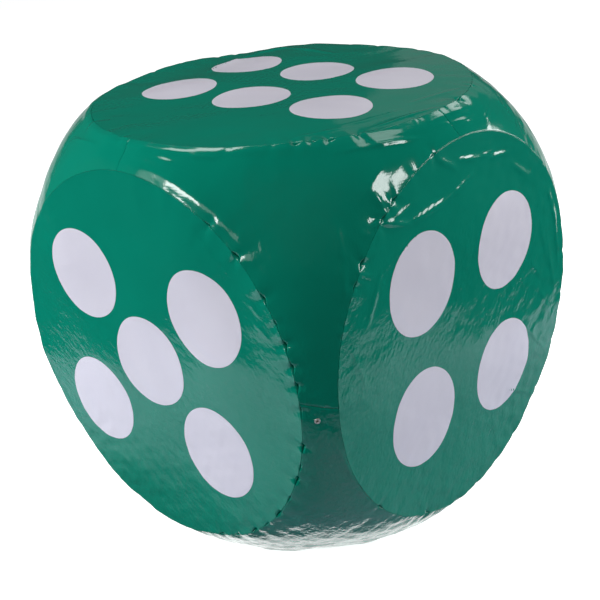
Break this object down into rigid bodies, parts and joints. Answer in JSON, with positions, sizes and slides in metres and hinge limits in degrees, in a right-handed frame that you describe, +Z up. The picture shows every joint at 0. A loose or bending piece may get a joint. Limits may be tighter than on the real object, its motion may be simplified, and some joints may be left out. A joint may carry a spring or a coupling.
{
  "type": "giant soft die",
  "caption": "Giant soft six-sided die: foam block in a sewn glossy green cover of round face panels and three-armed corner panels, with flush white pips.",
  "frame": {"origin": "middle of the underside (face one), on the surface the die stands on", "axes": "+Z up, out of face six; -Y out of face five; +X out of face four; opposite faces add up to seven"},
  "size_m": [0.6, 0.6, 0.6],
  "materials": {
    "cover": "glossy dark green PVC coating on a woven polyester scrim",
    "pips": "satin white PVC film, welded in flush",
    "foam": "open-cell polyurethane foam, cut face",
    "eyelet": "nickel-plated brass"
  },
  "bodies": {
    "root": {"face_panel_one": "cover", "face_panel_two": "cover", "face_panel_three": "cover", "face_panel_four": "cover", "face_panel_five": "cover", "face_panel_six": "cover", "corner_panel_upper_front_left": "cover", "corner_panel_upper_front_right": "cover", "corner_panel_upper_rear_left": "cover", "corner_panel_upper_rear_right": "cover", "corner_panel_lower_front_left": "cover", "corner_panel_lower_front_right": "cover", "corner_panel_lower_rear_left": "cover", "corner_panel_lower_rear_right": "cover", "pip_one_1": "pips", "pip_two_1": "pips", "pip_two_2": "pips", "pip_three_1": "pips", "pip_three_2": "pips", "pip_three_3": "pips", "pip_four_1": "pips", "pip_four_2": "pips", "pip_four_3": "pips", "pip_four_4": "pips", "pip_five_1": "pips", "pip_five_2": "pips", "pip_five_3": "pips", "pip_five_4": "pips", "pip_five_5": "pips", "pip_six_1": "pips", "pip_six_2": "pips", "pip_six_3": "pips", "pip_six_4": "pips", "pip_six_5": "pips", "pip_six_6": "pips", "foam_core": "foam", "vent_eyelet": "eyelet", "eyelet_washer": "eyelet"}
  },
  "joints": []
}
